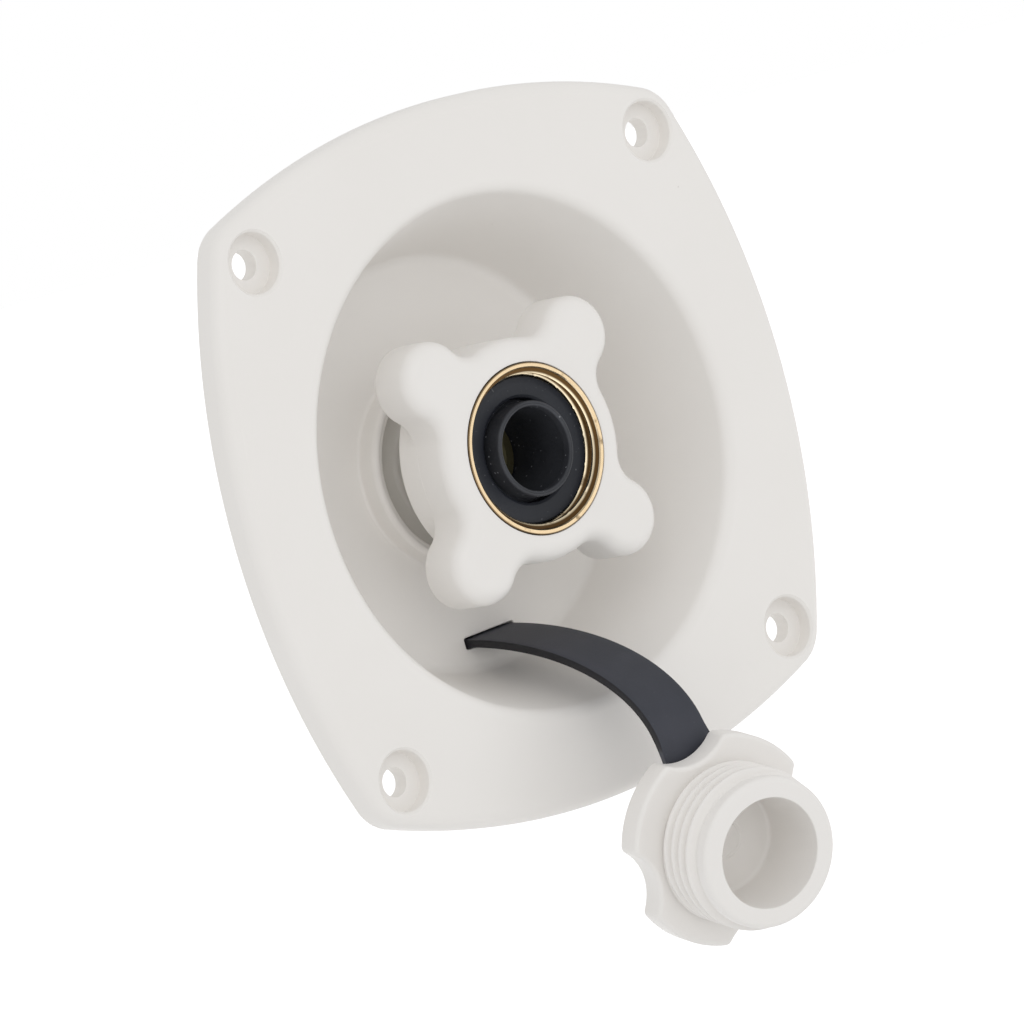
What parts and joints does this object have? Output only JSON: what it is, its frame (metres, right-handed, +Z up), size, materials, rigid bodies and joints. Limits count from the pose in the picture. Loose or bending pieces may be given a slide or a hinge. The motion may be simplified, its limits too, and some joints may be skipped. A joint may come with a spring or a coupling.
{
  "type": "recessed water inlet",
  "caption": "Square bowed flange with a round recessed dish, lobed swivel hose nut, check-valve body with a threaded outlet behind, and a screw-in plug on a rubber strap.",
  "frame": {"origin": "on the swivel nut's axis, in the plane of the flange's back face, which lies on the wall", "axes": "+X to the right and +Z up for someone facing the inlet, +Y into the wall along the nut's axis"},
  "size_m": [0.12, 0.0932, 0.1468],
  "materials": {
    "white_plastic": "off-white moulded plastic, fine matte surface",
    "nut_plastic": "off-white moulded plastic, soft satin",
    "plug_plastic": "off-white moulded plastic, soft satin",
    "black_rubber": "black rubber",
    "strap_rubber": "slate-black moulded rubber, matte",
    "black_nylon": "black moulded plastic, slightly grainy",
    "brass": "machined brass",
    "spring_steel": "bright spring wire"
  },
  "bodies": {
    "root": {"flange_dish": "white_plastic", "inlet_body": "white_plastic", "body_gasket": "black_rubber", "rear_lock_nut": "white_plastic", "neck_snap_ring": "spring_steel", "hose_washer": "black_rubber", "valve_sleeve": "black_nylon", "sleeve_o_ring": "black_rubber", "valve_seat": "brass", "stem_guide": "black_nylon", "valve_spring": "spring_steel", "strap_anchor": "strap_rubber"},
    "hose_nut": {"swivel_nut": "nut_plastic", "thread_insert": "brass"},
    "poppet": {"valve_poppet": "black_nylon", "poppet_seal": "black_rubber"},
    "strap_mid": {"strap_middle": "strap_rubber"},
    "strap_end": {"strap_tip": "strap_rubber"},
    "plug": {"sealing_plug": "plug_plastic"}
  },
  "joints": [
    {"name": "nut_spin", "type": "hinge", "parent": "root", "child": "hose_nut", "pos_m": [0, 0, 0], "axis": [0, -1, 0], "continuous": true},
    {"name": "poppet_slide", "type": "slide", "parent": "root", "child": "poppet", "axis": [0, 1, 0], "range_m": [0, 0.004], "stiffness_N_per_m": 250, "springref_m": -0.002, "deforming": ["valve_spring"]},
    {"name": "strap_bend", "type": "hinge", "parent": "root", "child": "strap_mid", "pos_m": [0, -0.00762, -0.03601], "axis": [-1, 0, 0], "range_deg": [-10, 75], "stiffness_Nm_per_rad": 0.01, "springref_deg": 34.38},
    {"name": "strap_tip_bend", "type": "hinge", "parent": "strap_mid", "child": "strap_end", "pos_m": [0, -0.0232, -0.05], "axis": [-1, 0, 0], "range_deg": [-12, 86]},
    {"name": "plug_spin", "type": "hinge", "parent": "strap_end", "child": "plug", "pos_m": [0.001, -0.0228, -0.0688], "axis": [-0.1879, -0.9667, -0.1737], "continuous": true}
  ],
  "couplings": [
    {"joint": "strap_tip_bend", "follows": "strap_bend", "ratio": 1.1333}
  ]
}
